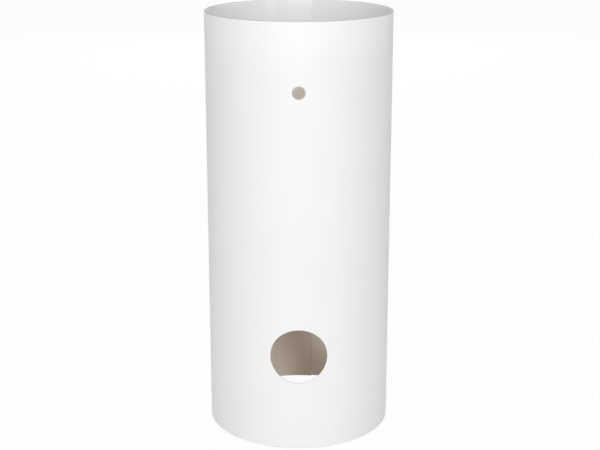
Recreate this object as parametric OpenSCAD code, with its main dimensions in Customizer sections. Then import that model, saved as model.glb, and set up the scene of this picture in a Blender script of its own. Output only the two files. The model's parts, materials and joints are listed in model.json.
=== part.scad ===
// A tower-shaped mesh network node: a rolled white sleeve, open at both ends, slipped over a standing core
// Front is towards -Y, up is +Z, and the origin is on the floor under the middle of the sleeve

/* [Sleeve] */
// Outer diameter of the sleeve
sleeve_d = 100; // [96:1:116]
// Height of the sleeve
sleeve_h = 229; // [226:1:250]
// Thickness of the rolled sheet
sheet_t = 1; // [0.8:0.1:1.4]
// Width of the lap seam along the sheet
lap_w = 20; // [14:1:24]
// Angle from the back centre to the inner edge of the lap
lap_edge = 9; // [4:1:12]
// Angle over which the tucked sheet steps out again
lap_step = 8; // [6:1:10]
// Diameter of the cable outlet
outlet_d = 30; // [26:1:34]
// Height of the middle of the cable outlet
outlet_z = 52.5; // [46:0.5:54]
// Diameter of the opening over the button
button_hole_d = 6.6; // [5:0.2:7.6]
// Distance from the rim down to the axis of the button
button_drop = 35.5; // [34:0.5:42]

/* [Core frame] */
// Depth of the core below the rim of the sleeve
rim_depth = 16; // [14:1:18]
// Height of the underside of the port deck
deck_z = 74; // [72:1:80]
// Height of the two frame rings
ring_h = 8; // [7:0.5:9]
// Radial width of the rings and posts
ring_w = 5; // [4.6:0.2:6]
// Width of a corner post
post_w = 16; // [14:1:18]
// Bevel on the lower edge of the base ring
ring_bevel = 0.6; // [0.4:0.1:0.7]
// Thickness of the rib inside a leg
rib_t = 2.4; // [1.8:0.2:3]
// Depth of the rib inside a leg
rib_d = 3; // [2:0.5:3]
// Height of the rubber feet
foot_h = 3; // [2:0.5:5]
// Width of a foot's plug
foot_plug_d = 2.2; // [1.8:0.1:2.4]
// Length of a foot's plug
foot_plug_l = 6; // [4:0.5:9]
// Width of a side rail
rail_w = 12; // [10:1:14]
// Depth of a side rail
rail_depth = 8; // [7:0.5:9]
// Depth of the board slot in a side rail
slot_depth = 3; // [2.5:0.5:4]
// Width of the front rail
front_w = 29; // [27:1:32]
// Width of the window in the front rail
front_window_w = 15; // [10:1:17]
// Corner radius of the window in the front rail
front_window_r = 2; // [1:0.5:3]
// Diameter of the pegs on the rail ends
peg_d = 2.6; // [2:0.2:3]
// Length of the pegs on the rail ends
peg_l = 5; // [3:0.5:6]

/* [Port deck and grille] */
// Thickness of the port plate
plate_t = 2.4; // [2:0.2:3]
// Length of the screw tabs under the base ring
tab_l = 10; // [8:1:12]
// Width of the screw tabs
tab_w = 10; // [8:1:12]
// Width of an air slot in the port plate
air_slot_w = 3; // [2:0.2:3.6]
// Spacing of the air slots
air_slot_pitch = 6; // [5:0.5:7]
// Thickness of the vent grille
grille_t = 2; // [1.6:0.2:3]
// Bevel round the top edge of the grille
grille_bevel = 0.7; // [0.4:0.1:0.7]
// Depth of the spigot under the grille
spigot_h = 2; // [1.5:0.5:3]
// Wall of the spigot under the grille
spigot_w = 1.6; // [1.2:0.2:1.6]
// Diameter of a grille hole
grille_hole_d = 5; // [4:0.2:5.6]
// Spacing of the grille holes
grille_pitch = 7.2; // [6.8:0.2:9]

/* [Main board] */
// Thickness of the main board
board_t = 1.6; // [1.2:0.2:2]
// Side of the processor
cpu_w = 17; // [14:1:20]
// Drop of the processor below the middle of the board
cpu_drop = 14; // [10:1:20]
// Rise of the radio chips above the middle of the board
radio_rise = 20; // [16:1:24]
// Sideways place of the radio chips
radio_x = 15; // [12:1:17]
// Sideways place of the memory chips
memory_x = 10; // [7:1:14]
// Sideways place of the radio shields
shield_x = 19; // [17:1:20]
// Side of a radio chip
radio_w = 11; // [9:1:12]
// Height of the chips that touch the heat sink
chip_h = 1.2; // [0.8:0.1:1.6]
// Thickness of a thermal pad
pad_t = 0.6; // [0.4:0.1:1]
// Width of a memory chip
memory_w = 9; // [8:0.5:10]
// Height of a memory chip on the board
memory_l = 13; // [10:1:14]
// Width of a radio shield
shield_w = 26; // [22:1:27]
// Length of a radio shield
shield_l = 34; // [28:1:36]
// Height of a radio shield
shield_h = 3.2; // [2.6:0.2:4]
// Metal thickness of a radio shield
shield_t = 0.4; // [0.3:0.1:0.6]
// Spacing of the holes in a radio shield
shield_pitch = 4.4; // [3.6:0.2:4.6]
// Side of a power coil
coil_w = 8; // [6:0.5:9]
// Height of a power coil
coil_h = 4; // [3:0.5:5]
// Diameter of a power capacitor
cap_d = 6.3; // [5:0.1:7]
// Height of a power capacitor
cap_h = 7; // [5:0.5:9]
// Rise of the row of power pieces above the foot of the heat sink
power_rise = 16; // [13:0.5:20]
// Spacing of the power coils
coil_pitch = 10.5; // [9.5:0.5:11]
// Sideways place of the outer power coil
coil_x = -28; // [-32:0.5:-26]
// Spacing of the power capacitors
cap_pitch = 8; // [7.5:0.5:9]
// Sideways place of the inner power capacitor
cap_x = 11; // [8:0.5:14]

/* [Heat sink] */
// Room between the heat sink and each side rail
sink_side = 13.6; // [13:0.2:17]
// Thickness of the base of the heat sink
sink_base_t = 3.6; // [3:0.2:5]
// Number of fins
sink_fins = 11; // [7:2:11]
// Thickness of a fin at its root
fin_t = 1.4; // [1.2:0.1:1.8]
// Thickness of a fin at its tip
fin_tip = 0.9; // [0.7:0.1:1.1]
// Gap between the fin tips and the inside of the rings
sink_gap = 1.6; // [1:0.2:3]
// Distance from the heat sink's corner to its screws
sink_screw_in = 6; // [5:0.5:8]

/* [Connectors] */
// Width of a network jack
jack_w = 16; // [15.4:0.2:16.2]
// Depth of a network jack in front of the board
jack_d = 13.4; // [12.8:0.2:15]
// Length of a network jack
jack_l = 21.4; // [20:0.2:23]
// Spacing of the two network jacks
jack_pitch = 18; // [17:0.5:18.5]
// Width of the plug opening in a jack
plug_w = 11.9; // [11.7:0.1:12.2]
// Height of the plug opening in a jack
plug_h = 8.2; // [7.8:0.1:8.4]
// Depth of the plug opening in a jack
plug_l = 15; // [13:0.5:17]
// Width of the latch groove in a jack
latch_w = 6.2; // [5.6:0.1:6.4]
// Thickness of a contact wire
wire_t = 0.36; // [0.3:0.02:0.4]
// Spacing of the contact wires
wire_pitch = 1.02; // [0.9:0.02:1.1]
// Sideways place of the power jack
power_x = 27; // [25:0.5:28]
// Width of the power jack
power_w = 9; // [8.6:0.2:10]
// Depth of the power jack
power_d = 11; // [10:0.2:12]
// Length of the power jack
power_l = 14; // [12:0.5:16]
// Bore of the power jack
power_bore = 6.4; // [5.6:0.1:6.6]
// Diameter of the centre pin
power_pin = 2; // [1.6:0.1:2.6]
// Depth of the bore of the power jack
power_bore_l = 10; // [8:0.5:11]

/* [Power switch] */
// Sideways place of the switch
switch_x = -29; // [-30:0.5:-28.5]
// Width of the switch body
switch_w = 8.6; // [8.4:0.2:9]
// Depth of the switch body
switch_d = 13.4; // [13.2:0.2:14.4]
// Length of the switch body
switch_l = 12; // [11:0.5:14]
// Wall of the switch body
switch_wall = 0.8; // [0.6:0.1:0.9]
// Length of the rocker
rocker_l = 10.4; // [9.6:0.2:10.6]
// Tilt of the rocker to either side
rocker_tilt = 9; // [6:1:10]
// Diameter of the rocker's pivot pin
pivot_d = 2; // [1.6:0.1:2.4]

/* [Buttons] */
// Diameter of the pairing button
button_d = 9; // [8.4:0.2:10]
// Radius of the dome on the button's face
button_dome_r = 24; // [16:1:40]
// Diameter of the button's flange
flange_d = 11; // [10.6:0.2:12]
// Thickness of the button's flange
flange_t = 1.2; // [1:0.1:1.6]
// Travel of the pairing button
button_travel = 0.8; // [0.4:0.1:1]
// Width of the button board
button_board_w = 28; // [26:1:28]
// Height of the button board
button_board_h = 17; // [16:0.5:18]
// Thickness of the button board
button_board_t = 1.2; // [1:0.1:1.6]
// Side of the button's switch
tact_w = 6; // [5:0.5:6.5]
// Height of the button's switch
tact_h = 3.6; // [3.2:0.1:4.4]
// Diameter of the switch plunger
plunger_d = 3.4; // [2.6:0.2:3.6]
// Sideways place of the reset button
reset_x = -20.8; // [-21:0.1:-20.5]
// Diameter of the reset button
reset_d = 2.4; // [2:0.1:2.6]
// Travel of the reset button
reset_travel = 0.5; // [0.3:0.1:0.6]

/* [Antennas] */
// Width of an antenna strip
ant_w = 11; // [9:0.5:12]
// Length of an antenna strip
ant_l = 70; // [55:1:80]
// Thickness of an antenna strip
ant_t = 0.8; // [0.6:0.1:1]
// Diameter of an antenna lead
lead_d = 1.2; // [1:0.1:1.4]
// Diameter of the plug on an antenna lead
ant_plug_d = 3; // [2.4:0.2:3.4]
// Height of the plug on an antenna lead
ant_plug_h = 1.6; // [1.2:0.2:2.4]

/* [Fasteners] */
// Thread diameter of the screws
screw_d = 1.8; // [1.6:0.1:2]
// Head diameter of the screws
head_d = 3.4; // [3.2:0.1:3.8]
// Head height of the screws
head_h = 1.1; // [0.9:0.1:1.2]
// Depth that a screw reaches into the piece it holds to
screw_grip = 4.6; // [4:0.2:5]

/* [Fits] */
// Radial gap between the core and the sleeve
core_gap = 0.4; // [0.3:0.05:0.6]
// Gap round pieces that are fitted together
joint_gap = 0.1; // [0.05:0.05:0.15]
// Radial clearance of a button in its guide
slide_gap = 0.1; // [0.06:0.02:0.14]
// Radial clearance of the rocker's pivot
pivot_gap = 0.05; // [0.03:0.01:0.08]
// Gap round the connectors in the port plate
port_gap = 0.25; // [0.15:0.05:0.3]

/* [Hidden] */
$fn = 48;

// Colours
WHITE = [0.94, 0.94, 0.94];
FRAME = [0.84, 0.83, 0.82];
DARK = [0.12, 0.12, 0.13];
METAL = [0.7, 0.71, 0.73];
GOLD = [0.83, 0.65, 0.3];
GREEN = [0.1, 0.3, 0.2];
BEIGE = [0.78, 0.73, 0.67];

// Height of the axis of the button
button_z = sleeve_h - button_drop;

// Sleeve and core radii
sleeve_r = sleeve_d / 2;
sleeve_ri = sleeve_r - sheet_t;
lap_ri = sleeve_ri - sheet_t;
core_r = sleeve_ri - core_gap;
core_ri = core_r - ring_w;
mid_r = core_r - ring_w / 2;
lap_a0 = 90 - lap_edge;
lap_sweep = lap_w / sleeve_ri * 180 / PI;
post_angles = [45, 135, 225, 315];
grille_screw_angles = [65, 115, 245, 295];
peg_angles = [0, 180, 270];

// Levels
core_top = sleeve_h - rim_depth;
top_ring_top = core_top - grille_t;
top_ring_z = top_ring_top - ring_h;
base_ring_top = deck_z + ring_h;
plate_top = deck_z + plate_t;
rail_ri = core_r - rail_depth;
board_half = rail_ri + slot_depth - joint_gap;
board_z0 = plate_top + 1.6;
board_rest = base_ring_top + 2;
board_top = top_ring_z - joint_gap;
board_mid = (board_rest + board_top) / 2;
radio_z = board_mid + radio_rise;
cpu_z = board_mid - cpu_drop;
tab_r0 = core_ri - tab_l;
tab_screw_r = core_ri - tab_l / 2;
plate_r = core_ri - joint_gap - 0.2;
pilot_d = screw_d + 0.06;
clear_d = screw_d + 0.3;

// Heat sink
sink_y = board_t + chip_h + pad_t;
sink_w = 2 * (rail_ri - sink_side);
sink_r = core_ri - sink_gap;
sink_z0 = board_rest + 8;
sink_z1 = top_ring_z - 10;
sink_screw_x = sink_w / 2 - sink_screw_in;
sink_screw_z = [sink_z0 + sink_screw_in, sink_z1 - sink_screw_in];
fin_pitch = (sink_w - fin_t) / (sink_fins - 1);
sink_post_d = 5;

// Button stack, measured along Y from the front
button_face_y = -(core_r - 0.2);
guide_y = -core_ri;
flange_y = guide_y + 0.05;
stem_y = flange_y + flange_t;
stem_end_y = stem_y + 2;
tact_y = stem_end_y + button_travel + 0.4;
button_board_y = tact_y + tact_h;
button_back_y = button_board_y + button_board_t;
button_screw_x = button_board_w / 2 - 3.6;
plunger_in = button_travel + 0.6;

// Reset stack, measured along Z
reset_y = -3.5;
reset_flange_z = plate_top + 0.05;
reset_top_z = reset_flange_z + 0.9;
reset_tact_z = reset_top_z + reset_travel + 0.3;

// Rocker
rocker_y = -switch_d / 2;
rocker_z = deck_z + 2.9;
rocker_face = 2.2;
rocker_end = rocker_face + rocker_l / 2 * tan(rocker_tilt);

// Antennas and leads
ant_floor = core_r - ant_t - 1;
ant_z1 = top_ring_z - 4;
ant_z0 = ant_z1 - ant_l;
feed_z = ant_z0 + 8;
lead_x = rail_ri - 6.6;

// Ribbon cable between the button board and the main board
ribbon_w = 8;
ribbon_t = 0.3;
ribbon_in = 1.5;
ribbon_top_z = button_z - 5;
ribbon_end_z = radio_z - shield_l / 2 - 4;

// Helpers
module ring(ro, ri, z, h) {
  translate([0, 0, z])
    difference() {
      cylinder(r = ro, h = h);
      translate([0, 0, -1])
        cylinder(r = ri, h = h + 2);
    }
}

// A ring with its lower outer edge bevelled by b
module bevelled_ring(ro, ri, z, h, b) {
  translate([0, 0, z])
    rotate_extrude()
      polygon([[ri, 0], [ro - b, 0], [ro, b], [ro, h], [ri, h]]);
}

module sector(r0, r1, a0, sweep, z, h) {
  translate([0, 0, z])
    rotate([0, 0, a0])
      rotate_extrude(angle = sweep)
        translate([r0, 0])
          square([r1 - r0, h]);
}

module bar(a, w, ro, ri, z, h) {
  rotate([0, 0, a])
    intersection() {
      ring(ro, ri, z, h);
      translate([0, -w / 2, z - 1])
        cube([ro + 1, w, h + 2]);
    }
}

// A bore or pin pointing outwards from the axis at angle a
module radial(a, z, d, r0, r1) {
  rotate([0, 0, a])
    translate([r0, 0, z])
      rotate([0, 90, 0])
        cylinder(d = d, h = r1 - r0);
}

// A cylinder along Y from y0 to y1
module along_y(x, z, d, y0, y1) {
  translate([x, y0, z])
    rotate([-90, 0, 0])
      cylinder(d = d, h = y1 - y0);
}

module box(x0, x1, y0, y1, z0, z1) {
  translate([x0, y0, z0])
    cube([x1 - x0, y1 - y0, z1 - z0]);
}

module rounded_square(w, h, r) {
  union() {
    square([w - 2 * r, h], center = true);
    square([w, h - 2 * r], center = true);
    for (x = [-1, 1], y = [-1, 1])
      translate([x * (w / 2 - r), y * (h / 2 - r)])
        circle(r = r);
  }
}

// A rounded plate standing on the board, from y0 to y1, seen from the front
module upright(x, z, w, h, r, y0, y1) {
  translate([x, y1, z])
    rotate([90, 0, 0])
      linear_extrude(height = y1 - y0)
        rounded_square(w, h, r);
}

// A cross-head screw with its head above z = 0 and its shank below
module screw(l) {
  difference() {
    union() {
      cylinder(d = head_d, h = head_h);
      translate([0, 0, -l])
        cylinder(d = screw_d, h = l + head_h / 2);
    }
    for (a = [0, 90])
      rotate([0, 0, a])
        translate([-head_d * 0.3, -0.2, head_h - 0.5])
          cube([head_d * 0.6, 0.4, 1]);
  }
}

// Room for the lap seam behind the frame
module lap_room(z, h) {
  sector(lap_ri - core_gap, core_r + 2, lap_a0 - 2, lap_sweep + lap_step + 4, z, h);
}

// Sleeve
function lap_inner(t) =
  let (u = max(0, min(1, (t * (lap_sweep + lap_step) - lap_sweep) / lap_step)))
  lap_ri + (sheet_t + 0.2) * u * u * (3 - 2 * u);

module lap_strip() {
  steps = 28;
  rotate([0, 0, lap_a0])
    linear_extrude(height = sleeve_h)
      polygon(concat(
        [for (i = [0:steps])
          let (a = i / steps * (lap_sweep + lap_step))
          (sleeve_ri + 0.5 * sheet_t) * [cos(a), sin(a)]],
        [for (i = [steps:-1:0])
          let (a = i / steps * (lap_sweep + lap_step))
          lap_inner(i / steps) * [cos(a), sin(a)]]
      ));
}

module outer_sleeve() {
  color(WHITE)
    difference() {
      union() {
        ring(sleeve_r, sleeve_ri, 0, sleeve_h);
        lap_strip();
      }
      along_y(0, outlet_z, outlet_d, -sleeve_r - 1, 0);
      along_y(0, button_z, button_hole_d, -sleeve_r - 1, 0);
      rotate([0, 0, lap_a0 + lap_sweep])
        translate([sleeve_r - 0.4 * sheet_t, -0.15, -1])
          cube([2, 0.3, sleeve_h + 2]);
    }
}

// Core frame
module ring_joints(z) {
  for (a = post_angles) {
    rotate([0, 0, a])
      translate([mid_r - joint_gap, -post_w / 2 - joint_gap, z - 1])
        cube([ring_w, post_w + 2 * joint_gap, ring_h + 2]);
    radial(a, z + ring_h / 2, pilot_d, core_ri + 0.2, core_r);
  }
  lap_room(z - 1, ring_h + 2);
}

// A screw tab with a rounded end, inside the base ring
module screw_tab() {
  translate([tab_screw_r, 0, plate_top])
    cylinder(d = tab_w, h = ring_h - plate_t);
  box(tab_screw_r, core_ri + 1, -tab_w / 2, tab_w / 2, plate_top, base_ring_top);
}

module base_ring() {
  color(FRAME)
    difference() {
      union() {
        bevelled_ring(core_r, core_ri, deck_z, ring_h, ring_bevel);
        for (a = post_angles)
          rotate([0, 0, a])
            screw_tab();
      }
      ring_joints(deck_z);
      for (a = post_angles)
        rotate([0, 0, a])
          translate([tab_screw_r, 0, plate_top - 1])
            cylinder(d = pilot_d, h = ring_h - plate_t + 2);
      for (a = peg_angles)
        rotate([0, 0, a])
          translate([mid_r, 0, base_ring_top - peg_l - 0.4])
            cylinder(d = peg_d + 2 * joint_gap, h = peg_l + 1);
    }
}

module top_ring() {
  color(FRAME)
    difference() {
      union() {
        ring(core_r, core_ri, top_ring_z, ring_h);
        for (a = [0, 180])
          rotate([0, 0, a])
            box(rail_ri, core_ri + 1, -rail_w / 2, rail_w / 2, top_ring_z, top_ring_top);
      }
      ring_joints(top_ring_z);
      for (a = grille_screw_angles)
        rotate([0, 0, a])
          translate([mid_r, 0, top_ring_z + 1])
            cylinder(d = pilot_d, h = ring_h);
      for (a = peg_angles)
        rotate([0, 0, a])
          translate([mid_r, 0, top_ring_z - 1])
            cylinder(d = peg_d + 2 * joint_gap, h = peg_l + 1.4);
    }
}

// A stiffening rib with sloped ends, on the inside of a leg
module leg_rib() {
  z0 = foot_h + 5;
  z1 = deck_z - 2;
  translate([0, rib_t / 2, 0])
    rotate([90, 0, 0])
      linear_extrude(height = rib_t)
        polygon([
          [core_ri + 0.5, z0],
          [core_ri, z0],
          [core_ri - rib_d, z0 + rib_d],
          [core_ri - rib_d, z1 - rib_d],
          [core_ri, z1],
          [core_ri + 0.5, z1]
        ]);
}

module corner_post(i) {
  a = post_angles[i - 1];
  color(FRAME)
    difference() {
      union() {
        bar(a, post_w, core_r, core_ri, foot_h, top_ring_top - foot_h);
        rotate([0, 0, a])
          leg_rib();
      }
      rotate([0, 0, a]) {
        for (z = [deck_z, top_ring_z])
          box(core_ri - 1, mid_r, -post_w, post_w, z - joint_gap, z + ring_h + joint_gap);
        box(ant_floor, core_r + 1, -ant_w / 2 - joint_gap, ant_w / 2 + joint_gap,
          ant_z0 - joint_gap, ant_z1 + joint_gap);
        translate([mid_r, 0, foot_h - 1])
          cylinder(d = foot_plug_d + 2 * joint_gap, h = foot_plug_l + 1.5);
      }
      radial(a, feed_z, lead_d + 0.8, core_ri - 1, core_r);
      for (z = [deck_z, top_ring_z]) {
        radial(a, z + ring_h / 2, clear_d, core_ri, core_r + 1);
        radial(a, z + ring_h / 2, head_d + 0.4, core_r - 0.3 - head_h, core_r + 1);
      }
    }
}

module side_rail(side) {
  color(FRAME)
    mirror([side < 0 ? 1 : 0, 0, 0]) {
      difference() {
        intersection() {
          translate([0, 0, base_ring_top])
            cylinder(r = core_r, h = top_ring_z - base_ring_top);
          box(rail_ri, core_r + 1, -rail_w / 2, rail_w / 2, base_ring_top - 1, top_ring_z + 1);
        }
        box(rail_ri - 1, rail_ri + slot_depth, -joint_gap, board_t + joint_gap, board_rest, top_ring_z + 1);
      }
      for (z = [base_ring_top - peg_l, top_ring_z - 1])
        translate([mid_r, 0, z])
          cylinder(d = peg_d, h = peg_l + 1);
    }
}

module front_rail() {
  window_z0 = base_ring_top + 12;
  window_z1 = button_z - 16;
  color(FRAME)
    difference() {
      union() {
        bar(270, front_w, core_r, core_ri, base_ring_top, top_ring_z - base_ring_top);
        for (z = [base_ring_top - peg_l, top_ring_z - 1])
          translate([0, -mid_r, z])
            cylinder(d = peg_d, h = peg_l + 1);
        for (x = [-1, 1])
          along_y(x * button_screw_x, button_z, 5.4, -core_ri - 1, button_board_y);
      }
      along_y(0, button_z, button_d + 2 * slide_gap, -core_r - 1, 0);
      along_y(0, button_z, flange_d + 4 * slide_gap, guide_y, 0);
      for (x = [-1, 1])
        along_y(x * button_screw_x, button_z, pilot_d, button_board_y - 7, button_board_y + 1);
      upright(0, (window_z0 + window_z1) / 2, front_window_w, window_z1 - window_z0, front_window_r,
        -core_r - 1, -core_ri + 3);
    }
}

module rubber_feet() {
  color(DARK)
    for (a = post_angles) {
      bar(a, post_w - 1, core_r - 0.3, core_ri + 0.3, 0, foot_h);
      rotate([0, 0, a])
        translate([mid_r, 0, foot_h / 2])
          cylinder(d = foot_plug_d, h = foot_h / 2 + foot_plug_l);
    }
}

module post_screws() {
  color(METAL)
    for (a = post_angles, z = [deck_z, top_ring_z])
      rotate([0, 0, a])
        translate([core_r - 0.3 - head_h, 0, z + ring_h / 2])
          rotate([0, 90, 0])
            screw(ring_w - head_h - 0.6);
}

// Port deck
module air_slot(x) {
  y0 = sink_y + 4;
  y1 = sqrt(pow(tab_r0 + 2, 2) - x * x);
  translate([x, 0, deck_z - 1])
    linear_extrude(height = plate_t + 2)
      translate([0, (y0 + y1) / 2])
        rounded_square(air_slot_w, y1 - y0, air_slot_w / 2 - 0.01);
}

module port_plate() {
  color(FRAME)
    difference() {
      translate([0, 0, deck_z])
        cylinder(r = plate_r, h = plate_t);
      for (x = [-1, 1])
        box(x * jack_pitch / 2 - jack_w / 2 - port_gap, x * jack_pitch / 2 + jack_w / 2 + port_gap,
          -jack_d - port_gap, port_gap, deck_z - 1, plate_top + 1);
      box(power_x - power_w / 2 - port_gap, power_x + power_w / 2 + port_gap,
        -power_d - port_gap, port_gap, deck_z - 1, plate_top + 1);
      box(switch_x - switch_w / 2 - port_gap, switch_x + switch_w / 2 + port_gap,
        -switch_d - port_gap, port_gap, deck_z - 1, plate_top + 1);
      translate([reset_x, reset_y, deck_z - 1])
        cylinder(d = reset_d + 2 * slide_gap, h = plate_t + 2);
      for (i = [-4:4])
        air_slot(i * air_slot_pitch);
      for (a = post_angles)
        rotate([0, 0, a])
          translate([tab_screw_r, 0, deck_z - 1])
            cylinder(d = clear_d, h = plate_t + 2);
    }
}

module port_plate_screws() {
  color(METAL)
    for (a = post_angles)
      rotate([0, 0, a])
        translate([tab_screw_r, 0, deck_z])
          rotate([180, 0, 0])
            screw(plate_t + screw_grip);
}

// Vent grille
module grille_spigot() {
  r = core_ri - joint_gap;
  difference() {
    ring(r, r - spigot_w, top_ring_top - spigot_h, spigot_h + grille_t / 2);
    box(-core_r, core_r, -rail_w / 2 - 2 * joint_gap, rail_w / 2 + 2 * joint_gap,
      top_ring_top - spigot_h - 1, top_ring_top);
  }
}

module vent_grille() {
  field_r = core_ri - grille_hole_d / 2 - 2;
  n = ceil(field_r / grille_pitch / 0.866);
  color(FRAME)
    difference() {
      union() {
        translate([0, 0, top_ring_top])
          cylinder(r = core_r, h = grille_t - grille_bevel);
        translate([0, 0, core_top - grille_bevel])
          cylinder(r1 = core_r, r2 = core_r - grille_bevel, h = grille_bevel);
        grille_spigot();
      }
      for (i = [-n:n], j = [-n:n]) {
        x = (i + j / 2) * grille_pitch;
        y = j * grille_pitch * 0.866;
        if (norm([x, y]) < field_r)
          translate([x, y, top_ring_top - 1])
            cylinder(d = grille_hole_d, h = grille_t + 2);
      }
      lap_room(top_ring_top - 1, grille_t + 2);
      for (a = grille_screw_angles)
        rotate([0, 0, a])
          translate([mid_r, 0, top_ring_top - 1])
            cylinder(d = clear_d, h = grille_t + 2);
    }
}

module grille_screws() {
  color(METAL)
    for (a = grille_screw_angles)
      rotate([0, 0, a])
        translate([mid_r, 0, core_top])
          screw(grille_t + screw_grip);
}

// Main board
module main_board() {
  color(GREEN)
    difference() {
      union() {
        box(-board_half, board_half, 0, board_t, board_rest, board_top);
        box(-rail_ri + 2, rail_ri - 2, 0, board_t, board_z0, board_rest + 1);
      }
      for (x = [-1, 1], z = sink_screw_z)
        along_y(x * sink_screw_x, z, clear_d, -1, board_t + 1);
    }
}

module processor() {
  color(DARK)
    upright(0, cpu_z, cpu_w, cpu_w, 0.6, board_t, board_t + chip_h);
}

module radio_chips() {
  color(DARK)
    for (x = [-1, 1])
      upright(x * radio_x, radio_z, radio_w, radio_w, 0.5, board_t, board_t + chip_h);
}

module memory_chips() {
  color(DARK)
    for (x = [-1, 1])
      upright(x * memory_x, cpu_z, memory_w, memory_l, 0.3, -1, 0);
}

module thermal_pads() {
  color([0.55, 0.62, 0.72]) {
    upright(0, cpu_z, cpu_w - 1, cpu_w - 1, 0.5, board_t + chip_h, sink_y);
    for (x = [-1, 1])
      upright(x * radio_x, radio_z, radio_w - 1, radio_w - 1, 0.5, board_t + chip_h, sink_y);
  }
}

// A fin that thins from its root to its tip, cut to the circle of the sink
module fin(x) {
  thin = (fin_t - fin_tip) / 2;
  reach = sink_r - sink_y + 1;
  translate([x, sink_y])
    polygon([[0, 0], [fin_t, 0], [fin_t - thin, reach], [thin, reach]]);
}

module heat_sink() {
  color(METAL)
    difference() {
      union() {
        translate([0, 0, sink_z0])
          linear_extrude(height = sink_z1 - sink_z0)
            intersection() {
              union() {
                translate([-sink_w / 2, sink_y])
                  square([sink_w, sink_base_t]);
                for (i = [0:sink_fins - 1])
                  fin(-sink_w / 2 + i * fin_pitch);
              }
              circle(r = sink_r);
            }
        for (x = [-1, 1], z = sink_screw_z)
          along_y(x * sink_screw_x, z, sink_post_d, board_t, sink_y + 1);
      }
      for (x = [-1, 1], z = sink_screw_z)
        along_y(x * sink_screw_x, z, pilot_d, board_t - 1, sink_y + sink_base_t - 0.8);
    }
}

module heat_sink_screws() {
  color(METAL)
    for (x = [-1, 1], z = sink_screw_z)
      translate([x * sink_screw_x, 0, z])
        rotate([90, 0, 0])
          screw(sink_y + sink_base_t - 1.2);
}

module shield(side) {
  color(METAL)
    difference() {
      upright(side * shield_x, radio_z, shield_w, shield_l, 1.2, -shield_h, 0);
      upright(side * shield_x, radio_z, shield_w - 2 * shield_t, shield_l - 2 * shield_t, 0.8,
        -shield_h + shield_t, 1);
      for (i = [-2:2], j = [-3:3])
        along_y(side * shield_x + i * shield_pitch, radio_z + j * shield_pitch, 1.4, -shield_h - 1, -shield_h + 1);
    }
}

module power_coils() {
  lid = 0.6;
  color([0.2, 0.2, 0.21])
    for (i = [0:2]) {
      upright(coil_x + i * coil_pitch, sink_z0 + power_rise, coil_w, coil_w, 1.4, lid - coil_h, 0);
      upright(coil_x + i * coil_pitch, sink_z0 + power_rise, coil_w - 2 * lid, coil_w - 2 * lid, 1,
        -coil_h, -coil_h / 2);
    }
}

// A can with a crimped waist and a rounded-off top on a square base
module capacitor(x) {
  r = cap_d / 2;
  base = 1;
  crimp = 0.4;
  edge = 0.3;
  upright(x, sink_z0 + power_rise, cap_d + edge, cap_d + edge, 2 * crimp, -base, 0);
  translate([x, 0, sink_z0 + power_rise])
    rotate([90, 0, 0])
      rotate_extrude()
        polygon([
          [0, base / 2],
          [r - edge, base / 2],
          [r - edge, base],
          [r, base],
          [r, 2 * base],
          [r - crimp, 2 * base + crimp],
          [r, 2 * base + 2 * crimp],
          [r, cap_h - edge],
          [r - edge, cap_h],
          [0, cap_h]
        ]);
}

module power_capacitors() {
  color([0.75, 0.75, 0.78])
    for (i = [0:2])
      capacitor(cap_x + i * cap_pitch);
}

// Connectors
module jack(x) {
  color(METAL)
    difference() {
      box(x - jack_w / 2, x + jack_w / 2, -jack_d, 0, deck_z, deck_z + jack_l);
      box(x - plug_w / 2, x + plug_w / 2, -plug_h - 3, -3, deck_z - 1, deck_z + plug_l);
      box(x - latch_w / 2, x + latch_w / 2, -jack_d + 0.8, -4, deck_z - 1, deck_z + plug_l - 3);
      for (side = [-1, 1])
        translate([x + side * (plug_w + latch_w) / 3, 0, 0])
          box(-1.1, 1.1, -jack_d + 0.6, -jack_d + 1.8, deck_z - 1, deck_z + 0.4);
    }
}

module jack_contacts() {
  color(GOLD)
    for (s = [-1, 1], i = [0:7])
      translate([s * jack_pitch / 2 + (i - 3.5) * wire_pitch - wire_t / 2, -3.5, deck_z + plug_l]) {
        translate([0, 0, -2 * wire_t])
          cube([wire_t, wire_t, 2 * wire_t]);
        translate([0, 0, -wire_t])
          rotate([-14, 0, 0])
            translate([0, 0, -plug_l * 0.6])
              cube([wire_t, wire_t, plug_l * 0.6]);
      }
}

module power_jack() {
  color(DARK)
    difference() {
      box(power_x - power_w / 2, power_x + power_w / 2, -power_d, 0, deck_z, deck_z + power_l);
      translate([power_x, -power_d / 2, deck_z - 1])
        cylinder(d = power_bore, h = power_bore_l + 1);
    }
}

module power_jack_pin() {
  color(GOLD)
    translate([power_x, -power_d / 2, deck_z + 1.5])
      cylinder(d = power_pin, h = power_bore_l - 1.5);
}

// Power switch
module switch_body() {
  color(DARK)
    difference() {
      box(switch_x - switch_w / 2, switch_x + switch_w / 2, -switch_d, 0, deck_z, deck_z + switch_l);
      box(switch_x - switch_w / 2 + switch_wall, switch_x + switch_w / 2 - switch_wall,
        -switch_d + 0.5, -0.5, deck_z - 1, deck_z + switch_l - 3);
      translate([switch_x - switch_w, rocker_y, rocker_z])
        rotate([0, 90, 0])
          cylinder(d = pivot_d + 2 * pivot_gap, h = 2 * switch_w);
    }
}

module rocker_profile() {
  polygon([
    [-rocker_l / 2, -rocker_end],
    [0, -rocker_face],
    [rocker_l / 2, -rocker_end],
    [rocker_l / 2, -rocker_end + 1.6],
    [rocker_l / 4, 1.6],
    [-rocker_l / 4, 1.6],
    [-rocker_l / 2, -rocker_end + 1.6]
  ]);
}

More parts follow.
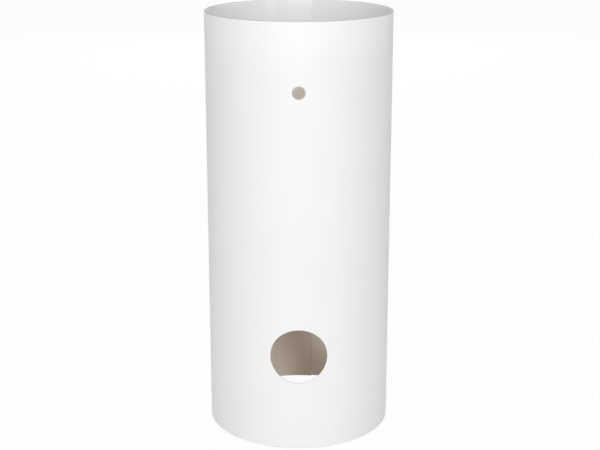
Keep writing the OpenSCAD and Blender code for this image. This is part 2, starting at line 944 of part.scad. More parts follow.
module power_rocker() {
  w = switch_w - 2 * switch_wall - 0.6;
  color([0.75, 0.16, 0.12])
    translate([switch_x, rocker_y, rocker_z])
      rotate([rocker_tilt, 0, 0]) {
        rotate([90, 0, 90])
          translate([0, 0, -w / 2])
            linear_extrude(height = w)
              rocker_profile();
        rotate([0, 90, 0])
          translate([0, 0, -switch_w / 2 + 0.1])
            cylinder(d = pivot_d, h = switch_w - 0.2);
      }
}

// Reset button
module reset_switch() {
  color(DARK)
    difference() {
      box(reset_x - 2.8, reset_x + 2.8, -6, 0, reset_tact_z, reset_tact_z + 4.4);
      translate([reset_x, reset_y, reset_tact_z - 1])
        cylinder(d = 2 + 2 * slide_gap, h = reset_travel + 2.6);
    }
}

module reset_button() {
  color(BEIGE)
    translate([reset_x, reset_y, 0]) {
      translate([0, 0, deck_z + 0.6])
        cylinder(d = reset_d, h = reset_flange_z - deck_z);
      translate([0, 0, reset_flange_z])
        cylinder(d = reset_d + 1.8, h = reset_top_z - reset_flange_z);
    }
}

module reset_plunger() {
  color(DARK)
    translate([reset_x, reset_y, reset_top_z])
      cylinder(d = 2, h = reset_tact_z - reset_top_z + 1.2);
}

// Pairing button
module button_board() {
  color(GREEN)
    difference() {
      upright(0, button_z, button_board_w, button_board_h, 1.5, button_board_y, button_back_y);
      for (x = [-1, 1])
        along_y(x * button_screw_x, button_z, clear_d, button_board_y - 1, button_back_y + 1);
    }
}

module button_board_screws() {
  color(METAL)
    for (x = [-1, 1])
      translate([x * button_screw_x, button_back_y, button_z])
        rotate([-90, 0, 0])
          screw(button_board_t + screw_grip);
}

module button_switch() {
  color(DARK)
    difference() {
      upright(0, button_z, tact_w, tact_w, 0.4, tact_y, button_board_y);
      along_y(0, button_z, plunger_d + 2 * slide_gap, tact_y - 1, tact_y + plunger_in + button_travel + 0.4);
    }
}

module status_light() {
  color([0.95, 0.95, 0.85])
    upright(0, button_z - tact_w / 2 - 2.6, 3, 1.8, 0.2, button_board_y - 1.2, button_board_y);
}

module pairing_button() {
  color(BEIGE)
    union() {
      intersection() {
        along_y(0, button_z, button_d, button_face_y, flange_y + 0.5);
        translate([0, button_face_y + button_dome_r, button_z])
          sphere(r = button_dome_r);
      }
      along_y(0, button_z, flange_d, flange_y, stem_y);
      along_y(0, button_z, plunger_d + 0.6, stem_y - 0.2, stem_end_y);
    }
}

module button_plunger() {
  color(DARK)
    along_y(0, button_z, plunger_d, stem_end_y, tact_y + plunger_in);
}

// A socket with its mouth at z, open towards dir, in which the ribbon's end sits
module ribbon_socket(y, z, dir) {
  half = ribbon_w / 2;
  slot = ribbon_t / 2 + joint_gap / 2;
  translate([0, y, z])
    scale([1, 1, dir])
      difference() {
        box(-half - 1.5, half + 1.5, -1, 1, -4, 0);
        box(-half - joint_gap, half + joint_gap, -slot, slot, -ribbon_in, 1);
      }
}

module ribbon_sockets() {
  color(WHITE) {
    ribbon_socket(button_back_y + 1, ribbon_top_z, -1);
    ribbon_socket(-1, ribbon_end_z, 1);
  }
}

// Ribbon cable, a band along a smooth curve in the middle plane
function bezier(p, t) =
  pow(1 - t, 3) * p[0] + 3 * t * pow(1 - t, 2) * p[1] + 3 * t * t * (1 - t) * p[2] + pow(t, 3) * p[3];

function slope(p, t) =
  let (d = 3 * pow(1 - t, 2) * (p[1] - p[0]) + 6 * t * (1 - t) * (p[2] - p[1]) + 3 * t * t * (p[3] - p[2]))
  d / norm(d);

module ribbon_cable() {
  steps = 20;
  drop = (ribbon_top_z - ribbon_end_z) * 0.75;
  p = [
    [button_back_y + 1, ribbon_top_z + ribbon_in],
    [button_back_y + 1, ribbon_top_z - drop],
    [-1, ribbon_end_z + drop],
    [-1, ribbon_end_z - ribbon_in]
  ];
  color([0.85, 0.85, 0.88])
    translate([-ribbon_w / 2, 0, 0])
      rotate([90, 0, 90])
        linear_extrude(height = ribbon_w)
          polygon(concat(
            [for (i = [0:steps])
              let (s = slope(p, i / steps))
              bezier(p, i / steps) + ribbon_t / 2 * [-s[1], s[0]]],
            [for (i = [steps:-1:0])
              let (s = slope(p, i / steps))
              bezier(p, i / steps) - ribbon_t / 2 * [-s[1], s[0]]]
          ));
}

// Antennas
module antenna(i) {
  color([0.1, 0.22, 0.3])
    rotate([0, 0, post_angles[i - 1]])
      box(ant_floor, ant_floor + ant_t, -ant_w / 2, ant_w / 2, ant_z0, ant_z1);
}

module antenna_plugs() {
  color(GOLD)
    for (s = [-1, 1]) {
      along_y(s * lead_x, feed_z, ant_plug_d, -ant_plug_h, 0);
      along_y(s * lead_x, feed_z, ant_plug_d, board_t, board_t + ant_plug_h);
    }
}

// A lead in the level plane from a post to its plug on the board
module lead(i) {
  steps = 14;
  sides = 8;
  a = post_angles[i - 1];
  out = [cos(a), sin(a)];
  sx = out[0] > 0 ? 1 : -1;
  front = out[1] < 0;
  end_y = front ? -ant_plug_h : board_t + ant_plug_h;
  way = front ? -10 : 10;
  p = [
    (core_ri - lead_d) * out,
    (core_ri - lead_d - (front ? 9 : 4)) * out,
    [sx * lead_x, end_y + way],
    [sx * lead_x, end_y]
  ];
  points = [for (k = [-1:steps], j = [0:sides - 1])
    let (
      c = k < 0 ? (ant_floor - 0.02) * out : bezier(p, k / steps),
      s = k < 0 ? -out : slope(p, k / steps),
      b = j * 360 / sides
    )
    [
      c[0] + lead_d / 2 * cos(b) * -s[1],
      c[1] + lead_d / 2 * cos(b) * s[0],
      feed_z + lead_d / 2 * sin(b)
    ]];
  walls = [for (k = [0:steps], j = [0:sides - 1])
    let (q = (j + 1) % sides)
    [k * sides + j, (k + 1) * sides + j, (k + 1) * sides + q, k * sides + q]];
  polyhedron(
    points = points,
    faces = concat(
      walls,
      [[for (j = [0:sides - 1]) j]],
      [[for (j = [sides - 1:-1:0]) (steps + 1) * sides + j]]
    )
  );
}

module antenna_leads() {
  color(DARK)
    for (i = [1:4])
      lead(i);
}

outer_sleeve();
base_ring();
top_ring();
corner_post(1);  // corner_post_1
corner_post(2);  // corner_post_2
corner_post(3);  // corner_post_3
corner_post(4);  // corner_post_4
side_rail(-1);  // side_rail_left
side_rail(1);  // side_rail_right
front_rail();
rubber_feet();
post_screws();
port_plate();
port_plate_screws();
vent_grille();
grille_screws();
main_board();
processor();
radio_chips();
memory_chips();
thermal_pads();
heat_sink();
heat_sink_screws();
shield(-1);  // shield_left
shield(1);  // shield_right
power_coils();
power_capacitors();
jack(-jack_pitch / 2);  // wan_jack
jack(jack_pitch / 2);  // lan_jack
jack_contacts();
power_jack();
power_jack_pin();
switch_body();
power_rocker();
reset_switch();
reset_button();
reset_plunger();
button_board();
button_board_screws();
button_switch();
status_light();
pairing_button();
button_plunger();
ribbon_sockets();
ribbon_cable();
antenna(1);  // antenna_1
antenna(2);  // antenna_2
antenna(3);  // antenna_3
antenna(4);  // antenna_4
antenna_plugs();
antenna_leads();
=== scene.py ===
"""Finished surfaces of a tower-shaped mesh network node: a rolled white sleeve over a standing core."""

import json
import math

import bmesh
import bpy
import numpy as np
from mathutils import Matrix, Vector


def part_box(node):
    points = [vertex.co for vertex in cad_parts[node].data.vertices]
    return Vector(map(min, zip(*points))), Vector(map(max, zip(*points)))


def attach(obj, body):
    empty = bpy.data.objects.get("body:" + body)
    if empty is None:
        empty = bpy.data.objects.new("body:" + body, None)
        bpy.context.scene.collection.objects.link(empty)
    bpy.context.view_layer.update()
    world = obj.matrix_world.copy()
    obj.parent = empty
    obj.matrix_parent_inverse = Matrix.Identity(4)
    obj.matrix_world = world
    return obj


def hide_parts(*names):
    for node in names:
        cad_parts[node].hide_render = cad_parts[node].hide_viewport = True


bl_info = {
    "name": "Sleeved mesh node",
    "version": (1, 0, 0),
    "blender": (4, 5, 0),
    "location": "View3D > Sidebar > Node",
    "description": "Builds the sleeve, the core's finishes and the stage of a mesh network node",
    "category": "Object",
}

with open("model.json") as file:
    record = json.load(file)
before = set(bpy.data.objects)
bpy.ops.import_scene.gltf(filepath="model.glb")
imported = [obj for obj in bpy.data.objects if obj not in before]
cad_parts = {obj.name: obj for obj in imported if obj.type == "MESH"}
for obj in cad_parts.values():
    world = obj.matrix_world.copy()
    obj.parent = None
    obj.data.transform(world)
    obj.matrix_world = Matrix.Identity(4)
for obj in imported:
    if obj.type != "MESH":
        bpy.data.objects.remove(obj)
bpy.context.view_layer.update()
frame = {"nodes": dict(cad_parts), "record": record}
SLEEVE_LOW, SLEEVE_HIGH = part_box("outer_sleeve")
BUTTON_LOW, BUTTON_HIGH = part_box("pairing_button")
MILLIMETRE = 0.001

# Sizes of CAD pieces that the boxes of their nodes don't give
SCREW_HEAD = 0.0034
PLUG_SIDE = 0.003
STRIP_THICKNESS = 0.0008

# The floor's side, the hairline between it and the object, and the sensor's width in millimetres
FLOOR_SIZE = 8.0
FLOOR_GAP = 0.0002
SENSOR_WIDTH = 36.0

# Nodes that the pieces added here lie on or keep clear of
ANTENNAS = ("antenna_1", "antenna_2", "antenna_3", "antenna_4")
NETWORK_JACKS = ("wan_jack", "lan_jack")
LARGE_PARTS = (
    "shield_left", "shield_right", "memory_chips", "power_coils", "power_capacitors", "wan_jack",
    "lan_jack", "power_jack", "switch_body", "reset_switch", "ribbon_sockets",
)

# Colours that come with the material
WHITE = (1.0, 1.0, 1.0)
FLOOR_CARD = (0.9, 0.9, 0.9)
BLACK_PLASTIC = (0.025, 0.025, 0.027)
CHIP_MOULDING = (0.022, 0.022, 0.022)
SOCKET_PLASTIC = (0.72, 0.7, 0.64)
LENS_PLASTIC = (0.82, 0.82, 0.74)
PLATED_STEEL = (0.62, 0.63, 0.65)
ALUMINIUM = (0.68, 0.69, 0.7)
GOLD_PLATE = (0.83, 0.62, 0.26)
COPPER = (0.72, 0.42, 0.24)
TIN = (0.72, 0.72, 0.7)
SOLDER = (0.7, 0.7, 0.69)
ANTENNA_MASK = (0.012, 0.035, 0.07)
VIA_RING = (0.62, 0.5, 0.26)
# Painted shade that stands in for a via's open hole
VIA_HOLE_SHADE = (0.03, 0.03, 0.03)
FOOT_RUBBER = (0.035, 0.035, 0.035)
PAD_SILICONE = (0.3, 0.36, 0.44)
LEAD_SHEATH = (0.02, 0.02, 0.022)
RIBBON_FILM = (0.78, 0.78, 0.8)
RESISTOR = (0.02, 0.02, 0.022)
CAPACITOR = (0.36, 0.25, 0.16)

# Sockets of a Mix node that mixes colours, whose names its other modes share
MIX_SHARE, MIX_FIRST, MIX_SECOND, MIX_RESULT = 0, 6, 7, 2


class SleeveSettings(bpy.types.PropertyGroup):
    """Sizes and colours of the sleeve."""

    diameter: bpy.props.FloatProperty(
        name="Diameter",
        description="Outer diameter of the sleeve",
        default=SLEEVE_HIGH[0] - SLEEVE_LOW[0],
        unit="LENGTH",
    )
    height: bpy.props.FloatProperty(
        name="Height",
        description="Height of the sleeve",
        default=SLEEVE_HIGH[2],
        unit="LENGTH",
    )
    sheet: bpy.props.FloatProperty(
        name="Sheet",
        description="Thickness of the rolled sheet",
        default=0.001,
        unit="LENGTH",
    )
    edge: bpy.props.FloatProperty(
        name="Edge round",
        description="Rounding of the cut edges",
        default=0.0004,
        unit="LENGTH",
    )
    lap_edge: bpy.props.FloatProperty(
        name="Lap edge",
        description="Angle from the back to the inner edge of the lap seam",
        default=math.radians(9),
        subtype="ANGLE",
    )
    lap_width: bpy.props.FloatProperty(
        name="Lap width",
        description="Width of the lap seam along the sheet",
        default=0.02,
        unit="LENGTH",
    )
    lap_step: bpy.props.FloatProperty(
        name="Lap step",
        description="Angle over which the tucked sheet steps out again",
        default=math.radians(8),
        subtype="ANGLE",
    )
    outlet_diameter: bpy.props.FloatProperty(
        name="Outlet diameter",
        description="Diameter of the cable outlet",
        default=0.03,
        unit="LENGTH",
    )
    outlet_height: bpy.props.FloatProperty(
        name="Outlet height",
        description="Height of the middle of the cable outlet",
        default=0.0525,
        unit="LENGTH",
    )
    button_hole: bpy.props.FloatProperty(
        name="Button hole",
        description="Diameter of the opening over the button",
        default=0.0066,
        unit="LENGTH",
    )
    button_height: bpy.props.FloatProperty(
        name="Button height",
        description="Height of the axis of the button",
        default=(BUTTON_LOW[2] + BUTTON_HIGH[2]) / 2,
        unit="LENGTH",
    )
    colour: bpy.props.FloatVectorProperty(
        name="Sheet colour",
        description="Colour of the outside of the sheet",
        default=(0.9, 0.897, 0.893),
        subtype="COLOR",
    )
    inside_colour: bpy.props.FloatVectorProperty(
        name="Inside colour",
        description="Colour of the inside of the sheet",
        default=(0.9, 0.892, 0.897),
        subtype="COLOR",
    )
    # Painted shade: the inside at the sheet's outer end is darker by this share, so one side of the lap
    # seam is darker
    painted_seam_shade: bpy.props.FloatProperty(
        name="Tone drift",
        description="Tone of the inside at the sheet's outer end as a share of that at its tucked end",
        default=0.935,
        subtype="FACTOR",
    )
    # Painted shade: a grey on the cut edges at the two rims stands in for shade on their lips
    rim_shade_colour: bpy.props.FloatVectorProperty(
        name="Cut colour",
        description="Colour of the bare cut edges at the two rims",
        default=(0.55, 0.53, 0.5),
        subtype="COLOR",
    )
    # Painted light: a warmer colour on the inside round the cable chamber stands in for warm bounce light
    # there
    painted_bounce_colour: bpy.props.FloatVectorProperty(
        name="Low inside colour",
        description="Colour of the inside of the sheet round the cable chamber",
        default=(0.92, 0.85, 0.78),
        subtype="COLOR",
    )
    # Heights over which the painted warm bounce light round the cable chamber fades out
    painted_bounce_height: bpy.props.FloatProperty(
        name="Low height",
        description="Height at which the colour round the cable chamber has gone",
        default=0.09,
        unit="LENGTH",
    )
    painted_bounce_fade: bpy.props.FloatProperty(
        name="Low fade",
        description="Height over which the colour round the cable chamber goes",
        default=1 / 60,
        unit="LENGTH",
    )
    rough: bpy.props.FloatProperty(
        name="Roughness",
        description="Roughness of the sheet, to which its clouds, grain and bare edges add",
        default=0.42,
        subtype="FACTOR",
    )


class CoreSettings(bpy.types.PropertyGroup):
    """Colours of the pieces of the core."""

    frame_colour: bpy.props.FloatVectorProperty(
        name="Frame",
        description="Colour of the moulded frame",
        default=(0.84, 0.83, 0.815),
        subtype="COLOR",
    )
    board_colour: bpy.props.FloatVectorProperty(
        name="Board",
        description="Colour of the solder mask on the boards",
        default=(0.02, 0.12, 0.07),
        subtype="COLOR",
    )
    button_colour: bpy.props.FloatVectorProperty(
        name="Button",
        description="Colour of the pairing and reset buttons",
        default=(0.44, 0.37, 0.31),
        subtype="COLOR",
    )
    # Painted light: a lighter colour on the rim of the pairing button offsets the shadow that the hole's
    # edge casts on it
    button_rim_light_colour: bpy.props.FloatVectorProperty(
        name="Button rim",
        description="Colour of the rim of the pairing button, which fingers leave clean",
        default=(0.66, 0.61, 0.55),
        subtype="COLOR",
    )
    rocker_colour: bpy.props.FloatVectorProperty(
        name="Rocker",
        description="Colour of the power rocker",
        default=(0.55, 0.05, 0.03),
        subtype="COLOR",
    )


class DetailSettings(bpy.types.PropertyGroup):
    """Small parts on the boards."""

    part_pitch: bpy.props.FloatProperty(
        name="Part pitch",
        description="Grid on which the small parts of the main board are set",
        default=0.0029,
        unit="LENGTH",
    )
    part_room: bpy.props.FloatProperty(
        name="Part room",
        description="Clear room between the small parts and the large ones",
        default=0.0012,
        unit="LENGTH",
    )
    trace_width: bpy.props.FloatProperty(
        name="Trace width",
        description="Width of the antenna's copper trace",
        default=0.0011,
        unit="LENGTH",
    )
    trace_height: bpy.props.FloatProperty(
        name="Trace height",
        description="Thickness of the antenna's copper trace",
        default=0.00007,
        unit="LENGTH",
    )
    meander_width: bpy.props.FloatProperty(
        name="Meander width",
        description="Width of the antenna's meander between the middles of its sides",
        default=0.0078,
        unit="LENGTH",
    )
    meander_turns: bpy.props.IntProperty(
        name="Meander turns",
        description="Number of level runs in the antenna's meander",
        default=17,
    )
    pin_pitch: bpy.props.FloatProperty(
        name="Pin pitch",
        description="Sideways spacing of the soldered pins of a network jack",
        default=0.00102,
        unit="LENGTH",
    )


class StageSettings(bpy.types.PropertyGroup):
    """Floor, light and camera."""

    floor_white: bpy.props.FloatProperty(
        name="Floor white",
        description="Share of plain white in what the camera sees of the floor",
        default=0.95,
        subtype="FACTOR",
    )
    sky: bpy.props.FloatProperty(
        name="Sky",
        description="Strength of the even light from all round",
        default=0.387,
    )
    left_key: bpy.props.FloatProperty(
        name="Left key",
        description="Power of the left strip light in front",
        default=4.93,
        unit="POWER",
    )
    right_key: bpy.props.FloatProperty(
        name="Right key",
        description="Power of the right strip light in front",
        default=1.69,
        unit="POWER",
    )
    high_key: bpy.props.FloatProperty(
        name="High key",
        description="Power of the higher light in front, which shines down through the cable outlet",
        default=4.47,
        unit="POWER",
    )
    back_light: bpy.props.FloatProperty(
        name="Back light",
        description="Power of the soft light behind",
        default=7.04,
        unit="POWER",
    )
    over_light: bpy.props.FloatProperty(
        name="Overhead light",
        description="Power of the soft light overhead",
        default=4.12,
        unit="POWER",
    )
    fill: bpy.props.FloatProperty(
        name="Fill",
        description="Power of the small lamp that lifts the cable chamber",
        default=0.0055,
        unit="POWER",
    )
    fill_colour: bpy.props.FloatVectorProperty(
        name="Fill colour",
        description="Colour of the small lamp in the cable chamber",
        default=(1.0, 0.84, 0.7),
        subtype="COLOR",
    )
    fill_size: bpy.props.FloatProperty(
        name="Fill size",
        description="Side of the small lamp in the cable chamber",
        default=0.04,
        unit="LENGTH",
    )
    fill_gap: bpy.props.FloatProperty(
        name="Fill gap",
        description="Space between that lamp and the port plate over it",
        default=0.004,
        unit="LENGTH",
    )
    strip_turn: bpy.props.FloatProperty(
        name="Strip turn",
        description="Angle of each strip light to the left or right of the front",
        default=math.radians(13),
        subtype="ANGLE",
    )
    strip_dip: bpy.props.FloatProperty(
        name="Strip dip",
        description="Angle by which the strip lights look down",
        default=math.radians(9),
        subtype="ANGLE",
    )
    lamp_distance: bpy.props.FloatProperty(
        name="Lamp distance",
        description="Level distance of the lights from the sleeve's axis",
        default=1.5,
        unit="LENGTH",
    )
    strip_height: bpy.props.FloatProperty(
        name="Strip height",
        description="Height of the middle of the strip lights",
        default=0.35,
        unit="LENGTH",
    )
    strip_size: bpy.props.FloatVectorProperty(
        name="Strip size",
        description="Width and upright length of the strip lights",
        default=(0.18, 0.3),
        size=2,
        unit="LENGTH",
    )
    high_turn: bpy.props.FloatProperty(
        name="High turn",
        description="Angle of the higher light to the right of the front",
        default=math.radians(10.5),
        subtype="ANGLE",
    )
    high_dip: bpy.props.FloatProperty(
        name="High dip",
        description="Angle by which the higher light looks down",
        default=math.radians(24),
        subtype="ANGLE",
    )
    high_height: bpy.props.FloatProperty(
        name="High height",
        description="Height of the middle of the higher light",
        default=0.75,
        unit="LENGTH",
    )
    high_size: bpy.props.FloatVectorProperty(
        name="High size",
        description="Width and upright length of the higher light",
        default=(0.16, 0.3),
        size=2,
        unit="LENGTH",
    )
    back_dip: bpy.props.FloatProperty(
        name="Back dip",
        description="Angle by which the light behind looks down",
        default=math.radians(15),
        subtype="ANGLE",
    )
    back_height: bpy.props.FloatProperty(
        name="Back height",
        description="Height of the middle of the light behind",
        default=0.6,
        unit="LENGTH",
    )
    back_size: bpy.props.FloatProperty(
        name="Back size",
        description="Side of the square lights behind and overhead",
        default=0.8,
        unit="LENGTH",
    )
    over_height: bpy.props.FloatProperty(
        name="Overhead height",
        description="Height of the light overhead",
        default=1.4,
        unit="LENGTH",
    )
    distance: bpy.props.FloatProperty(
        name="Camera distance",
        description="Level distance from the camera to the sleeve's axis",
        default=0.6652,
        unit="LENGTH",
    )
    height: bpy.props.FloatProperty(
        name="Camera height",
        description="Height of the camera over the floor",
        default=0.3079,
        unit="LENGTH",
    )
    pitch: bpy.props.FloatProperty(
        name="Camera pitch",
        description="Angle by which the camera looks down",
        default=math.radians(15.44),
        subtype="ANGLE",
    )
    lens: bpy.props.FloatProperty(
        name="Lens",
        description="Focal length in millimetres",
        default=75.25,
    )
    shift: bpy.props.FloatVectorProperty(
        name="Lens shift",
        description="Sideways and upward shift of the lens as shares of the sensor's width",
        default=(0.002, -0.04),
        size=2,
    )


class Value:
    """A number that varies over a surface; arithmetic on it adds Math nodes to its finish."""

    def __init__(self, finish, socket):
        self.finish = finish
        self.socket = socket

    def math(self, operation, *others, clamp=False):
        return self.finish.node(
            "ShaderNodeMath",
            {"operation": operation, "use_clamp": clamp},
            dict(enumerate((self, *others))),
        )

    def __add__(self, other):
        return self.math("ADD", other)

    __radd__ = __add__

    def __sub__(self, other):
        return self.math("SUBTRACT", other)

    def __rsub__(self, other):
        return (self * -1.0) + other

    def __mul__(self, other):
        return self.math("MULTIPLY", other)

    __rmul__ = __mul__

    def __pow__(self, other):
        return self.math("POWER", other)

    def clamp(self):
        return self.math("ADD", 0.0, clamp=True)

    def fade(self, start, end):
        """0 up to start and 1 from end on, straight in between; end may be the smaller of the two."""
        return ((self - start) * (1.0 / (end - start))).clamp()


class Graph:
    """A node tree, emptied, whose nodes are all added by one method."""

    def __init__(self, owner):
        owner.use_nodes = True
        self.tree = owner.node_tree
        self.tree.nodes.clear()

    def node(self, kind, settings=None, inputs=None, out=0):
        """Any node, from its type, its settings and its sockets' values or links; gives one output."""
        made = self.tree.nodes.new(kind)
        for key, value in (settings or {}).items():
            setattr(made, key, value)
        for key, value in (inputs or {}).items():
            if isinstance(value, Value):
                self.tree.links.new(value.socket, made.inputs[key])
            else:
                made.inputs[key].default_value = value
        return Value(self, made.outputs[out]) if made.outputs else None

    def seen(self):
        """1 on rays that show the background: from the camera, off gloss or through a clear face."""
        kinds = ("Is Camera Ray", "Is Glossy Ray", "Is Transmission Ray")
        camera, glossy, through = (self.node("ShaderNodeLightPath", out=kind) for kind in kinds)
        return (camera + glossy + through).clamp()

    def blend(self, share, first, second):
        """The first shader turning into the second as share goes from 0 to 1."""
        return self.node("ShaderNodeMixShader", inputs={0: share, 1: first, 2: second})


def shade(colour, factor):
    """A colour times a number, held between 0 and 1."""
    return tuple(min(1.0, max(0.0, c * factor)) for c in colour)


class Finish(Graph):
    """One material, built round a Principled shader whose even values are set on its own sockets."""

    def __init__(self, name, **even):
        self.material = bpy.data.materials.new(name)
        super().__init__(self.material)
        self.even = even

    def place(self):
        """Object coordinates, as a vector and as its three numbers."""
        where = self.node("ShaderNodeTexCoord", out="Object")
        return where, [self.node("ShaderNodeSeparateXYZ", inputs={0: where}, out=axis) for axis in "XYZ"]

    def stretch(self, where, scale):
        """The place with each axis scaled, for streaks and cells."""
        return self.node("ShaderNodeMapping", inputs={"Vector": where, "Scale": scale})

    def noise(self, where, scale, detail=2.0, rough=0.5):
        """Cloudy noise, with scale in clouds per metre."""
        return self.node(
            "ShaderNodeTexNoise",
            inputs={"Vector": where, "Scale": scale, "Detail": detail, "Roughness": rough},
        )

    def cells(self, where, scale, spread, distance="EUCLIDEAN", out="Distance"):
        """Scattered cells, with scale in cells per metre: the distance from their middles, or a colour."""
        return self.node(
            "ShaderNodeTexVoronoi",
            {"distance": distance},
            {"Vector": where, "Scale": scale, "Randomness": spread},
            out,
        )

    def mix(self, share, first, second):
        """The first colour turning into the second as share goes from 0 to 1."""
        first, second = ((*c, 1.0) if isinstance(c, tuple) else c for c in (first, second))
        inputs = {MIX_SHARE: share, MIX_FIRST: first, MIX_SECOND: second}
        return self.node("ShaderNodeMix", {"data_type": "RGBA"}, inputs, MIX_RESULT)

    def mottled(self, share, colour, low, high):
        """A colour that goes from low to high times its tone as share goes from 0 to 1."""
        return self.mix(share, shade(colour, low), shade(colour, high))

    def bump(self, height, strength, distance, round_edge=None):
        """Bump from a height, on edges that are softened to a radius where one is given."""
        inputs = {"Height": height, "Strength": strength, "Distance": distance}
        if round_edge:
            inputs["Normal"] = self.node("ShaderNodeBevel", {"samples": 4}, {"Radius": round_edge})
        return self.node("ShaderNodeBump", inputs=inputs)

    def principled(self, **varying):
        """The shader with its even and its varying values; _ in a name stands for a space."""
        inputs = {key.replace("_", " "): value for key, value in {**self.even, **varying}.items()}
        return self.node("ShaderNodeBsdfPrincipled", inputs=inputs)

    def shown(self, shader):
        """Puts a shader on the surface and hands the material back."""
        self.node("ShaderNodeOutputMaterial", inputs={"Surface": shader})
        return self.material

    def done(self, **varying):
        return self.shown(self.principled(**varying))


def sleeve_sheet(settings):
    """Matt-embossed white sheet that lets a little light through. The outside is neutral, and the cut edges
    at the rims are dull, with a grey on them that is painted shade. The tone of the inside changes from one
    end of the sheet to the other, painted shade that makes one side of the lap darker, and round the cable
    chamber the inside is warmer, painted warm bounce light."""
    finish = Finish(
        "sleeve_sheet",
        IOR=1.49,
        Subsurface_Weight=0.15,
        Subsurface_Radius=(1.0, 0.88, 0.76),
        Subsurface_Scale=0.003,
    )
    where, (x, y, z) = finish.place()
    cloud = finish.noise(where, scale=26.0, detail=3.0)
    fine = finish.noise(where, scale=2400.0)
    streak = finish.noise(finish.stretch(where, (1.0, 1.0, 0.04)), scale=900.0)
    outside = finish.mottled(cloud, settings.colour, low=0.985, high=1.01)

    # Painted shade: the inside's tone changes round the sleeve from the lap, so one side of the lap is
    # darker
    turn_from_lap = x.math("ARCTAN2", y) - settings.lap_edge
    along_sheet = (turn_from_lap * (0.5 / math.pi)).math("FRACT")
    painted_seam_shade = finish.mottled(along_sheet, settings.inside_colour, low=settings.painted_seam_shade, high=1.0)
    # Painted light: the inside turns to the warmer colour round the cable chamber, painted warm bounce
    # light
    low = z.fade(settings.painted_bounce_height, settings.painted_bounce_height - settings.painted_bounce_fade)
    lining = finish.mix(low, painted_seam_shade, tuple(settings.painted_bounce_colour))

    # The lining's tone begins past the middle of the sheet, and the rims' painted shade within their
    # rounding
    radius = (x * x + y * y) ** 0.5
    lining_from = settings.diameter / 2 - settings.sheet * 0.6
    lining_full = lining_from - settings.sheet / 6
    faces = finish.mix(radius.fade(lining_from, lining_full), outside, lining)
    # Painted shade: the rims' cut edges turn grey within their rounding, and they are also duller
    from_rim = z.math("MINIMUM", settings.height - z)
    dull_shaded_rim = from_rim.fade(settings.edge * 0.6, settings.edge * 0.35)

    clouding = 0.1 * cloud
    grain = 0.05 * fine
    dulling = 0.48 * dull_shaded_rim
    emboss = 0.7 * fine + 0.3 * streak
    return finish.done(
        Base_Color=finish.mix(dull_shaded_rim, faces, tuple(settings.rim_shade_colour)),
        Roughness=settings.rough + clouding + grain + dulling,
        Normal=finish.bump(emboss, strength=0.06, distance=0.0003),
    )


def moulded_plastic(name, colour, rough=0.5, grain=1500.0, depth=0.12, round_edge=0.00025):
    """Injection-moulded plastic with a fine sparked texture, slight mottling and softened edges."""
    finish = Finish(name, IOR=1.5)
    where, _ = finish.place()
    cloud = finish.noise(where, scale=60.0, detail=3.0)
    fine = finish.noise(where, scale=grain)
    sparking = 0.12 * fine - 0.05
    return finish.done(
        Base_Color=finish.mottled(cloud, colour, low=0.96, high=1.04),
        Roughness=rough + sparking,
        Normal=finish.bump(fine, strength=depth, distance=0.0002, round_edge=round_edge),
    )


def rim_lit_plastic(name, colour, rim_light_colour, height, reach):
    """Fine plastic of a button on a level axis at a height, in its own colour over the inner half of its
    reach and turning from there to a lighter colour at the rim, painted light that offsets the shadow of
    the hole's edge."""
    finish = Finish(name, IOR=1.5)
    where, (x, _, z) = finish.place()
    radius = (x * x + (z - height) ** 2.0) ** 0.5
    # Painted light: the lighter rim offsets the shadow that the hole's edge casts on the button
    rim_light = radius.fade(reach / 2, reach) ** 2.0
    fine = finish.noise(where, scale=1800.0)
    return finish.done(
        Base_Color=finish.mix(rim_light, colour, rim_light_colour),
        Roughness=0.35 + 0.12 * fine,
        Normal=finish.bump(fine, strength=0.06, distance=0.0002),
    )


def metal(name, colour, rough, upright=1.0, round_edge=0.00015):
    """Plated or extruded metal with fine marks, faint handling and softened edges. A small value of
    upright, the fineness of the marks along Z as a share of that across, draws them into streaks."""
    finish = Finish(name, Metallic=1.0)
    where, _ = finish.place()
    mark = finish.noise(finish.stretch(where, (1.0, 1.0, upright)), scale=1600.0, detail=3.0, rough=0.6)
    cloud = finish.noise(where, scale=180.0, detail=3.0)
    brushing = 0.16 * mark - 0.08
    handling = 0.06 * cloud
    return finish.done(
        Base_Color=finish.mottled(cloud, colour, low=0.9, high=1.04),
        Roughness=rough + brushing + handling,
        Normal=finish.bump(mark, strength=0.08, distance=0.0001, round_edge=round_edge),
    )


